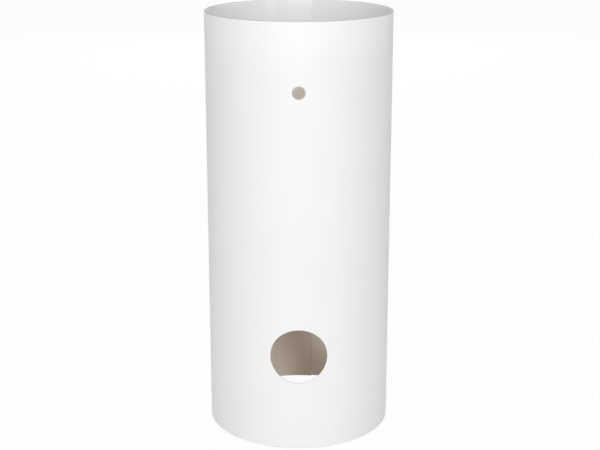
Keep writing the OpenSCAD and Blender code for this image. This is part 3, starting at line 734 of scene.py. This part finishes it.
def solder_mask(name, colour):
    """Circuit board: mask over patches of parallel copper lines, each patch with its own direction and
    pitch, and unmasked vias with a dark spot in the middle, painted shade for the hole."""
    finish = Finish(name, IOR=1.55)
    where, (x, _, z) = finish.place()
    flat = finish.stretch(where, (1.0, 0.0, 1.0))
    patch = finish.cells(flat, scale=105.0, spread=0.9, distance="CHEBYCHEV", out="Color")
    kind, fine = (
        finish.node("ShaderNodeSeparateColor", inputs={0: patch}, out=channel)
        for channel in ("Red", "Green")
    )
    lines_per_metre = 700.0 + 260.0 * fine.math("ROUND")
    line_share = 0.4
    upright, level, slant = (
        (along * lines_per_metre).math("FRACT").math("LESS_THAN", line_share)
        for along in (x, z, (x + z) * math.sqrt(0.5))
    )
    upright_share, level_share, bare_share = 0.36, 0.28, 0.5
    is_upright = kind.math("LESS_THAN", upright_share)
    is_level = kind.math("GREATER_THAN", 1.0 - level_share)
    is_slant = (1.0 - is_upright - is_level) * fine.math("GREATER_THAN", bare_share)
    lines = is_upright * upright + is_level * level + is_slant * slant

    spot = finish.cells(flat, scale=330.0, spread=0.7)
    ring_radius, hole_radius, via_share = 0.09, 0.04, 0.4
    via = spot.math("LESS_THAN", ring_radius) * fine.math("LESS_THAN", via_share)
    # Painted shade: a dark spot in each via stands in for its open hole
    hole = spot.math("LESS_THAN", hole_radius)
    mask = finish.mottled(lines, colour, low=1.0, high=1.75)
    return finish.done(
        Base_Color=finish.mix(via, mask, finish.mix(hole, VIA_RING, VIA_HOLE_SHADE)),
        Roughness=0.34 + 0.12 * finish.noise(where, scale=700.0),
        Normal=finish.bump(lines, strength=0.25, distance=0.00008),
    )


def ceramic(name, colour):
    """Fired body of a small part, with a tone of its own every few millimetres."""
    finish = Finish(name, IOR=1.6)
    where, _ = finish.place()
    tone = finish.noise(where, scale=420.0, detail=0.0)
    return finish.done(
        Base_Color=finish.mottled(tone, colour, low=0.6, high=1.4),
        Roughness=0.35 + 0.2 * finish.noise(where, scale=2400.0),
    )


def soft_rubber(name, colour):
    """Dull rubber with a powdery bloom."""
    finish = Finish(name, IOR=1.45)
    where, _ = finish.place()
    bloom = finish.noise(where, scale=220.0, detail=4.0, rough=0.6)
    grain = finish.noise(where, scale=1800.0)
    return finish.done(
        Base_Color=finish.mottled(bloom, colour, low=0.8, high=1.5),
        Roughness=0.68 + 0.2 * bloom,
        Normal=finish.bump(grain, strength=0.15, distance=0.0002),
    )


def ribbon_film(name, colour):
    """Clear film over flat tinned conductors that run along the ribbon."""
    finish = Finish(name, IOR=1.5)
    where, (x, _, _) = finish.place()
    conductors_per_metre = 1000.0
    conductor_share = 0.55
    bar = (x * conductors_per_metre).math("FRACT").math("LESS_THAN", conductor_share)
    return finish.done(
        Base_Color=finish.mottled(bar, colour, low=1.0, high=0.62),
        Roughness=0.3 + 0.15 * finish.noise(where, scale=300.0),
    )


def quads(rows, columns, wrap=False):
    """Index quads of a grid of rows by columns points, joined end to start along the columns if wrap."""
    width = columns if wrap else columns - 1
    row, column = np.meshgrid(np.arange(rows - 1), np.arange(width), indexing="ij")
    here = row * columns + column
    beside = row * columns + (column + 1) % columns
    return np.stack([here, beside, beside + columns, here + columns], -1).reshape(-1, 4)


def joined(patches):
    """One vertex array and one face array from several grids."""
    points, faces, start = [], [], 0
    for grid, wrap in patches:
        rows, columns = grid.shape[:2]
        points.append(grid.reshape(-1, 3))
        faces.append(quads(rows, columns, wrap) + start)
        start += rows * columns
    return np.concatenate(points), np.concatenate(faces)


def make_piece(name, shape, material, body, sharp, merge=1e-6):
    """A closed mesh piece from its points and faces: doubles merged, faces outwards, and smooth up to the
    sharp angle in degrees."""
    points, faces = shape
    mesh = bpy.data.meshes.new(name)
    mesh.from_pydata(points.tolist(), [], faces.tolist())
    work = bmesh.new()
    work.from_mesh(mesh)
    bmesh.ops.remove_doubles(work, verts=work.verts, dist=merge)
    bmesh.ops.dissolve_degenerate(work, edges=work.edges, dist=merge)
    bmesh.ops.recalc_face_normals(work, faces=work.faces)
    work.to_mesh(mesh)
    work.free()
    mesh.polygons.foreach_set("use_smooth", np.ones(len(mesh.polygons), bool))
    mesh.set_sharp_from_angle(angle=math.radians(sharp))
    mesh.materials.append(material)
    piece = bpy.data.objects.new(name, mesh)
    bpy.context.scene.collection.objects.link(piece)
    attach(piece, body)
    return piece


def edge_round(steps=4):
    """Quarter turn as (1 - cos, sin) pairs, from the flat side to the edge."""
    angle = np.linspace(0.0, math.pi / 2, steps)
    return 1.0 - np.cos(angle), np.sin(angle)


def on_front(x, z, radius):
    """Points on the front of an upright cylinder, where y is minus the root of radius^2 - x^2."""
    return np.stack([x, -np.sqrt(radius * radius - x * x), z], -1)


def around(radius, angle):
    """Plan points at an angle from the front: x = radius sin angle, y = -radius cos angle."""
    return np.stack([radius * np.sin(angle), -radius * np.cos(angle)], -1)


def at_levels(plan, levels):
    """A grid that has a row of plan points, the same or one of its own, at each level."""
    flat = np.broadcast_to(plan, (len(levels), *plan.shape[-2:]))
    rise = np.broadcast_to(levels[:, None, None], (*flat.shape[:2], 1))
    return np.concatenate([flat, rise], -1)


def rolled_plan(s, band):
    """Plan of the rolled wall behind a front band of half width band, outside and inside. The inner
    radius drops by one sheet at the lap's edge and eases back over the lap step by 3 e^2 - 2 e^3, where e
    runs from 0 to 1. The outer one has a hairline groove where the outer layer ends."""
    outer = s.diameter / 2
    inner = outer - s.sheet
    front_out = math.asin(band / outer)
    front_in = math.asin(band / inner)
    lap_start = math.pi - s.lap_edge
    lap_end = lap_start + s.lap_width / inner
    wall_steps = 220
    hair = math.radians(0.05)

    # Angles from the lap's edge and from the groove's middle, and how many sheets deep the wall is there
    edge_turn = hair * np.array([-12.0, -1.0, 0.0, 1.0, 3.0, 14.0])
    edge_depth = np.array([0.0, 0.0, 0.8, 0.95, 1.0, 1.0])
    groove_turn = hair * np.array([3.4, 4.4, 12.0])
    groove_depth = np.array([0.4, 0.0, 0.0])

    turn = np.sort(np.concatenate([
        np.linspace(front_out, 2 * math.pi - front_out, wall_steps),
        lap_start + edge_turn,
        lap_end - groove_turn,
        lap_end + groove_turn,
    ]))
    ease = np.clip((turn - lap_end) / s.lap_step, 0.0, 1.0)
    tuck = np.interp(turn, lap_start + edge_turn, edge_depth) * (1.0 - ease * ease * (3.0 - 2.0 * ease))
    groove = np.interp(np.abs(turn - lap_end), groove_turn, groove_depth)
    turn_in = math.pi + (turn - math.pi) * (math.pi - front_in) / (math.pi - front_out)
    return around(outer - groove * s.sheet, turn), around(inner - tuck * s.sheet, turn_in)


def square_round(half, cells):
    """Points round a square, with as many cells to each side: one side and its three quarter turns."""
    along = np.linspace(-half, half, cells + 1)[:-1]
    sides = [np.stack([along, np.full(cells, -half)], -1)]
    for _ in range(3):
        x, z = sides[-1].T
        sides.append(np.stack([-z, x], -1))
    return np.concatenate(sides)


def sleeve_shell(s):
    """Rolled sleeve, its outside and inside as grids. Behind, they follow the rolled plan. The front band
    is a grid in x and z, in which a square patch round each hole is carried from the hole's circle out to
    the square by a straight blend, and a throat with rounded lips joins the two sides. Both rims turn
    through rounded lips as well."""
    outer = s.diameter / 2
    inner = outer - s.sheet
    top = s.height
    lip = s.edge
    # Half the width of the front band, which is wider than both holes, and its cells across
    band = 0.02
    cells = 40
    rows_below, rows_between, rows_above = 9, 26, 6
    # A row beside each rim's lip keeps the shading of the wall flat
    beside_lip = lip + 0.0004
    outlet, button = s.outlet_height, s.button_height
    holes = ((outlet, s.outlet_diameter / 2), (button, s.button_hole / 2))
    across = np.linspace(-band, band, cells + 1)
    below = np.concatenate([[lip], np.linspace(beside_lip, outlet - band, rows_below)])
    between = np.linspace(outlet + band, button - band, rows_between)
    above = np.concatenate([np.linspace(button + band, top - beside_lip, rows_above), [top - lip]])
    levels = np.concatenate([below, (outlet + across)[1:], between[1:], (button + across)[1:], above[1:]])
    back_out, back_in = rolled_plan(s, band)
    patches = [(at_levels(plan, levels), False) for plan in (back_out, back_in)]

    square = square_round(band, cells)
    ray = square / np.linalg.norm(square, axis=1, keepdims=True)
    # Shares of the way from a hole to its square, closest together at the hole
    spread = np.concatenate([[0.0, 0.02], np.linspace(0.08, 1.0, 12) ** 1.2])[:, None, None]
    for radius in (outer, inner):
        for span in (below, between, above):
            x, z = np.meshgrid(across, span)
            patches.append((on_front(x, z, radius), False))
        for height, hole in holes:
            flat = (hole + lip) * ray * (1.0 - spread) + square * spread
            patches.append((on_front(flat[..., 0], flat[..., 1] + height, radius), True))

    bend, rise = edge_round()
    for height, hole in holes:
        wide = hole + lip * np.concatenate([1.0 - rise, (1.0 - rise)[::-1]])
        deep = np.concatenate([outer - lip * bend, (inner + lip * bend)[::-1]])
        flat = wide[:, None, None] * ray
        patches.append((on_front(flat[..., 0], flat[..., 1] + height, deep[:, None]), True))

    plan_out = np.concatenate([on_front(across, across, outer)[:, :2], back_out[1:-1]])
    plan_in = np.concatenate([on_front(across, across, inner)[:, :2], back_in[1:-1]])
    wall = np.linalg.norm(plan_out - plan_in, axis=1)
    inset = lip * bend[:, None] / wall
    share = np.concatenate([1.0 - inset, inset[::-1]])[..., None]
    rim = plan_in + (plan_out - plan_in) * share
    drop = lip * (1.0 - np.concatenate([rise, rise[::-1]]))
    for edge_levels in (top - drop, drop):
        patches.append((at_levels(rim, edge_levels), True))
    return joined(patches)


def turned(profile, steps, centres):
    """Profile of (radius, height) pairs turned about a line along Y through each centre: the point at
    angle t is the centre plus (radius cos t, height, radius sin t)."""
    angle = np.linspace(0.0, 2 * math.pi, steps, endpoint=False)
    radius, height = np.asarray(profile).T
    flat = radius[:, None, None] * np.stack([np.cos(angle), 0 * angle, np.sin(angle)], -1)
    rise = height[:, None, None] * np.array([0.0, 1.0, 0.0])
    return [(flat + rise + centre, True) for centre in np.asarray(centres)]


def boxes(centres, sizes):
    """Closed boxes: each corner is the box's centre plus or minus half its size along each axis."""
    halves = (-0.5, 0.5)
    corners = np.array([[x, y, z] for x in halves for y in halves for z in halves])
    sides = np.array([[0, 1, 3, 2], [4, 6, 7, 5], [0, 4, 5, 1], [2, 3, 7, 6], [0, 2, 6, 4], [1, 5, 7, 3]])
    points = centres[:, None] + corners * sizes[:, None]
    faces = sides + len(corners) * np.arange(len(centres))[:, None, None]
    return points.reshape(-1, 3), faces.reshape(-1, 4)


def corner_boxes(node, size):
    """Boxes of one size in the four corners, seen from the front, of a node of four like pieces."""
    low, high = (np.array(p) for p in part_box(node))
    found = []
    for x in (low[0], high[0] - size):
        for z in (low[2], high[2] - size):
            found.append((np.array([x, low[1], z]), np.array([x + size, high[1], z + size])))
    return found


def board_places(settings):
    """Places for small parts on the front of the main board, and each one's row and column. Of a grid,
    those stay that lie in the clumps of a product of sines with a ripple on it, clear of large parts."""
    pitch, room = settings.part_pitch, settings.part_room
    low, high = (np.array(p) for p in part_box("main_board"))
    margin = 2 * pitch
    margin_below = 3 * pitch
    columns = np.arange(low[0] + margin, high[0] - margin, pitch)
    rows = np.arange(low[2] + margin_below, high[2] - margin, pitch)
    x, z = np.meshgrid(columns, rows)
    column, row = np.meshgrid(np.arange(len(columns)), np.arange(len(rows)))
    clump = np.sin(230.0 * x + 0.6) * np.sin(170.0 * z)
    ripple = 0.5 * np.sin(610.0 * x + 470.0 * z)
    clump_level = 0.12
    free = clump + ripple > clump_level
    taken = [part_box(name) for name in LARGE_PARTS]
    taken += corner_boxes("heat_sink_screws", SCREW_HEAD)
    taken += corner_boxes("antenna_plugs", PLUG_SIDE)
    for near, far in taken:
        beside = (x > near[0] - room) & (x < far[0] + room)
        free &= ~(beside & (z > near[2] - room) & (z < far[2] + room))
    return np.stack([x, np.full_like(x, low[1]), z], -1)[free], row[free], column[free]


def strip_along(path, width, base, top):
    """Flat trace along a path in a plane: at each corner the sides lie half a width off along the mitre,
    the sum of the two normals over one plus their product. The section is a box from base to top."""
    way = np.diff(path, axis=0)
    way /= np.linalg.norm(way, axis=1, keepdims=True)
    normal = np.stack([-way[:, 1], way[:, 0]], -1)
    before = np.vstack([normal[:1], normal])
    after = np.vstack([normal, normal[-1:]])
    mitre = (before + after) / (1.0 + (before * after).sum(1, keepdims=True)) * width / 2
    left, right = path + mitre, path - mitre
    corners = [(left, base), (left, top), (right, top), (right, base)]
    grid = np.stack([np.column_stack([np.full(len(path), level), side]) for side, level in corners], 1)
    ends = [grid[k][[0, 1, 3, 2]].reshape(2, 2, 3) for k in (0, -1)]
    return [(grid, True)] + [(end, False) for end in ends]


def floor_card(white):
    """Pale card that shows a share of plain white to the camera, and nothing from below."""
    finish = Finish("floor_card", Base_Color=(*FLOOR_CARD, 1.0), Roughness=0.9)
    glow = finish.node("ShaderNodeEmission", inputs={"Color": (*WHITE, 1.0), "Strength": 1.0})
    lit = finish.blend(finish.seen() * white, finish.principled(), glow)
    below = finish.node("ShaderNodeNewGeometry", out="Backfacing")
    clear = finish.node("ShaderNodeBsdfTransparent")
    return finish.shown(finish.blend(below, lit, clear))


def add_floor(white):
    """The square floor, a hairline under the object, with a share of plain white."""
    half = FLOOR_SIZE / 2
    mesh = bpy.data.meshes.new("floor")
    corners = [(-half, -half, 0.0), (half, -half, 0.0), (half, half, 0.0), (-half, half, 0.0)]
    mesh.from_pydata(corners, [], [(0, 1, 2, 3)])
    mesh.materials.append(floor_card(white))
    plane = bpy.data.objects.new("floor", mesh)
    plane.location.z = -FLOOR_GAP
    bpy.context.scene.collection.objects.link(plane)


def add_sky(strength):
    """Even light from all round, which shows as plain white."""
    world = bpy.data.worlds.new("studio")
    room = Graph(world)
    even, plain = (
        room.node("ShaderNodeBackground", inputs={"Color": (*WHITE, 1.0), "Strength": power})
        for power in (strength, 1.0)
    )
    room.node("ShaderNodeOutputWorld", inputs={"Surface": room.blend(room.seen(), even, plain)})
    bpy.context.scene.world = world


def add_lamp(name, place, turn, size, power, colour=WHITE):
    """A soft rectangular lamp."""
    lamp = bpy.data.lights.new(name, "AREA")
    lamp.shape = "RECTANGLE"
    lamp.size, lamp.size_y = size
    lamp.energy = power
    lamp.color = colour
    panel = bpy.data.objects.new(name, lamp)
    panel.location = place
    panel.rotation_euler = turn
    bpy.context.scene.collection.objects.link(panel)


def add_lamps(s):
    """Two strips and a higher panel in front, a panel behind and one overhead, and the chamber's fill."""
    back = (s.back_size, s.back_size)
    for name, turn, height, dip, size, power in (
        ("left_strip", -s.strip_turn, s.strip_height, s.strip_dip, s.strip_size, s.left_key),
        ("right_strip", s.strip_turn, s.strip_height, s.strip_dip, s.strip_size, s.right_key),
        ("high_panel", s.high_turn, s.high_height, s.high_dip, s.high_size, s.high_key),
        ("back_panel", math.pi, s.back_height, s.back_dip, back, s.back_light),
    ):
        place = (s.lamp_distance * math.sin(turn), -s.lamp_distance * math.cos(turn), height)
        add_lamp(name, place, (math.pi / 2 - dip, 0.0, turn), size, power)
    straight_down = (0.0, 0.0, 0.0)
    add_lamp("over_panel", (0.0, 0.0, s.over_height), straight_down, back, s.over_light)
    under_plate = (0.0, 0.0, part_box("port_plate")[0][2] - s.fill_gap)
    fill = (s.fill_size, s.fill_size)
    add_lamp("chamber_fill", under_plate, straight_down, fill, s.fill, s.fill_colour)


def add_camera(s):
    """The camera in front, looking down."""
    scene = bpy.context.scene
    camera = bpy.data.cameras.new("photo_camera")
    camera.lens = s.lens
    camera.sensor_width = SENSOR_WIDTH
    camera.shift_x, camera.shift_y = s.shift
    camera.clip_start = 0.01
    view = bpy.data.objects.new("photo_camera", camera)
    view.location = (0.0, -s.distance, s.height)
    view.rotation_euler = (math.pi / 2 - s.pitch, 0.0, 0.0)
    scene.collection.objects.link(view)
    scene.camera = view
    scene.view_settings.view_transform = "Standard"


class NODE_OT_sleeve(bpy.types.Operator):
    """Builds the rolled sleeve with its lap seam, cable outlet and button hole"""

    bl_idname = "mesh_node.sleeve"
    bl_label = "Sleeve"

    def execute(self, context):
        settings = context.scene.sleeve_settings
        shape = sleeve_shell(settings)
        sheet = sleeve_sheet(settings)
        piece = make_piece("sleeve_sheet", shape, sheet, "sleeve", sharp=50.0)
        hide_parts("outer_sleeve")
        return {"FINISHED"}


class NODE_OT_core_finishes(bpy.types.Operator):
    """Gives each piece of the core its finish"""

    bl_idname = "mesh_node.core_finishes"
    bl_label = "Core finishes"

    def execute(self, context):
        core = context.scene.core_settings
        sleeve = context.scene.sleeve_settings
        button = tuple(core.button_colour)
        # The pairing button's rim colour is painted light that offsets the shadow of the hole's edge
        button_rim_light = tuple(core.button_rim_light_colour)
        rocker = tuple(core.rocker_colour)
        by_slot = {
            "frame_light": moulded_plastic("frame_plastic", tuple(core.frame_colour)),
            "black_plastic": moulded_plastic("black_plastic", BLACK_PLASTIC, rough=0.42),
            "steel": metal("plated_steel", PLATED_STEEL, rough=0.3, upright=0.05),
            "aluminium": metal("extruded_aluminium", ALUMINIUM, rough=0.36, upright=0.02),
            "brass": metal("gold_plate", GOLD_PLATE, rough=0.22, upright=0.1),
            "rubber": soft_rubber("foot_rubber", FOOT_RUBBER),
            "board_green": solder_mask("board_mask", tuple(core.board_colour)),
            "antenna_blue": solder_mask("antenna_mask", ANTENNA_MASK),
            "chip_black": moulded_plastic(
                "chip_moulding", CHIP_MOULDING, rough=0.55, grain=2600.0, depth=0.2
            ),
            "pad": soft_rubber("pad_silicone", PAD_SILICONE),
            "rocker_red": moulded_plastic("rocker_plastic", rocker, rough=0.2, grain=900.0, depth=0.02),
            "button_beige": moulded_plastic("button_plastic", button, rough=0.4, grain=1800.0, depth=0.06),
            "light_lens": moulded_plastic(
                "lens_plastic", LENS_PLASTIC, rough=0.15, grain=900.0, depth=0.02
            ),
            "ribbon_white": ribbon_film("ribbon_film", RIBBON_FILM),
        }
        by_node = {
            "antenna_leads": soft_rubber("lead_sheath", LEAD_SHEATH),
            "ribbon_sockets": moulded_plastic("socket_plastic", SOCKET_PLASTIC, rough=0.4),
            "pairing_button": rim_lit_plastic(
                "button_face", button, button_rim_light, sleeve.button_height, sleeve.button_hole / 2
            ),
        }
        slots = {part["node"]: part["material_slot"] for part in frame["record"]["subparts"]}
        for name, node in frame["nodes"].items():
            finish = by_node.get(name, by_slot.get(slots[name]))
            if finish is not None:
                node.data.materials.clear()
                node.data.materials.append(finish)
        return {"FINISHED"}


class NODE_OT_small_parts(bpy.types.Operator):
    """Sets the small resistors and capacitors on the front of the main board"""

    bl_idname = "mesh_node.small_parts"
    bl_label = "Small parts"

    def execute(self, context):
        places, row, column = board_places(context.scene.detail_settings)
        if not len(places):
            raise RuntimeError("no room for small parts on the main board")
        # Length, height and width of the three sizes, dealt out by row and column
        sizes = np.array([(1.0, 0.35, 0.5), (1.6, 0.5, 0.8), (2.0, 0.75, 1.2)]) * MILLIMETRE
        size = sizes[(7 * row + 5 * column + row * column) % len(sizes)]
        upright = ((row + 2 * column) // 3 % 2 == 1)[:, None]
        dark = (3 * row + column) % 5 < 2
        size = np.where(upright, size[:, ::-1], size)
        along = np.where(upright, [0.0, 0.0, 1.0], [1.0, 0.0, 0.0])
        length = (size * along).sum(1, keepdims=True)
        centre = places - size * [0.0, 0.5, 0.0]
        body_share = 0.9
        body = size * (1.0 - along) + along * length * body_share
        for name, mask, colour in (
            ("resistor_bodies", dark, RESISTOR),
            ("capacitor_bodies", ~dark, CAPACITOR),
        ):
            shape = boxes(centre[mask], body[mask])
            make_piece(name, shape, ceramic(name, colour), "core", sharp=30.0)
        end_share = 0.24
        end_middle = 0.4
        end_proud = 0.00004
        end_size = size * (1.0 - along) + along * length * end_share + end_proud
        end_offset = along * length * end_middle
        ends = np.concatenate([centre + end_offset, centre - end_offset])
        shape = boxes(ends, np.concatenate([end_size, end_size]))
        tin = metal("tinned_ends", TIN, rough=0.34, round_edge=0.00005)
        make_piece("part_ends", shape, tin, "core", sharp=30.0)
        return {"FINISHED"}


class NODE_OT_antenna_copper(bpy.types.Operator):
    """Lays a meander of copper on each antenna strip"""

    bl_idname = "mesh_node.antenna_copper"
    bl_label = "Antenna copper"

    def execute(self, context):
        settings = context.scene.detail_settings
        margin = settings.meander_width
        step = np.arange(2 * settings.meander_turns)
        side = np.where((step + 1) // 2 % 2 == 0, -0.5, 0.5) * settings.meander_width
        patches = []
        for name in ANTENNAS:
            low, high = (np.array(p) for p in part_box(name))
            middle = (low + high) / 2
            reach = np.hypot(middle[0], middle[1])
            out_x, out_y = middle[:2] / reach
            level = np.linspace(low[2] + margin, high[2] - margin / 2, settings.meander_turns)[step // 2]
            path = np.stack([side, level], -1)
            face = reach + STRIP_THICKNESS / 2
            for grid, wrap in strip_along(path, settings.trace_width, face, face + settings.trace_height):
                out, across, z = np.moveaxis(grid, -1, 0)
                x = out * out_x - across * out_y
                y = out * out_y + across * out_x
                patches.append((np.stack([x, y, z], -1), wrap))
        copper = metal("antenna_copper", COPPER, rough=0.3, upright=0.2, round_edge=0.00003)
        make_piece("antenna_copper", joined(patches), copper, "core", sharp=30.0)
        return {"FINISHED"}


class NODE_OT_solder_joints(bpy.types.Operator):
    """Puts the solder joints of the sockets and the switch on the back of the main board"""

    bl_idname = "mesh_node.solder_joints"
    bl_label = "Solder joints"

    def execute(self, context):
        settings = context.scene.detail_settings
        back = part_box("main_board")[1][1]
        # Radius and height of the cone of solder round a pin, from the pin's cut end to the board
        cone = [(0.0, 0.95), (0.2, 0.95), (0.26, 0.5), (0.42, 0.16), (0.5, 0.0), (0.0, 0.0)]
        cone = np.array(cone) * MILLIMETRE
        wide_cone = cone * (2.2, 1.1)
        # A network jack's pins stand by turns in two rows, at these heights over its lower end
        pin_count = 8
        pin_rows = (0.01, 0.0075)
        pins = []
        for name in NETWORK_JACKS:
            low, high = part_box(name)
            first = (low[0] + high[0]) / 2 - (pin_count - 1) / 2 * settings.pin_pitch
            for i in range(pin_count):
                pins.append((first + i * settings.pin_pitch, back, low[2] + pin_rows[i % 2]))
        # How far in from each side and up from the lower end a connector's two tabs are soldered
        tabs = []
        for name, inset, rise in (
            ("wan_jack", 0.001, 0.014),
            ("lan_jack", 0.001, 0.014),
            ("power_jack", 0.0022, 0.008),
            ("switch_body", 0.0022, 0.008),
        ):
            low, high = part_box(name)
            for x in (low[0] + inset, high[0] - inset):
                tabs.append((x, back, low[2] + rise))
        shape = joined(turned(cone, steps=12, centres=pins) + turned(wide_cone, steps=16, centres=tabs))
        solder = metal("solder", SOLDER, rough=0.24, round_edge=0.00005)
        make_piece("solder_joints", shape, solder, "core", sharp=50.0)
        return {"FINISHED"}


class NODE_OT_stage(bpy.types.Operator):
    """Sets the pale floor, the soft studio light and the camera"""

    bl_idname = "mesh_node.stage"
    bl_label = "Stage"

    def execute(self, context):
        settings = context.scene.stage_settings
        add_floor(settings.floor_white)
        add_sky(settings.sky)
        add_lamps(settings)
        add_camera(settings)
        return {"FINISHED"}


class NODE_PT_panel(bpy.types.Panel):
    """Lists the steps that build the node"""

    bl_idname = "NODE_PT_mesh_node"
    bl_label = "Mesh node"
    bl_space_type = "VIEW_3D"
    bl_region_type = "UI"
    bl_category = "Node"

    def draw(self, context):
        for step in STEPS:
            self.layout.operator(step.bl_idname)


STEPS = (
    NODE_OT_sleeve,
    NODE_OT_core_finishes,
    NODE_OT_small_parts,
    NODE_OT_antenna_copper,
    NODE_OT_solder_joints,
    NODE_OT_stage,
)
GROUPS = {
    "sleeve_settings": SleeveSettings,
    "core_settings": CoreSettings,
    "detail_settings": DetailSettings,
    "stage_settings": StageSettings,
}


def register():
    for cls in (*GROUPS.values(), *STEPS, NODE_PT_panel):
        bpy.utils.register_class(cls)
    for name, cls in GROUPS.items():
        setattr(bpy.types.Scene, name, bpy.props.PointerProperty(type=cls))


def unregister():
    for name in GROUPS:
        delattr(bpy.types.Scene, name)
    for cls in (NODE_PT_panel, *reversed(STEPS), *reversed(GROUPS.values())):
        bpy.utils.unregister_class(cls)


def main():
    """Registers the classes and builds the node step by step."""
    register()
    for step in STEPS:
        family, name = step.bl_idname.split(".")
        getattr(getattr(bpy.ops, family), name)()


if __name__ == "__main__":
    main()
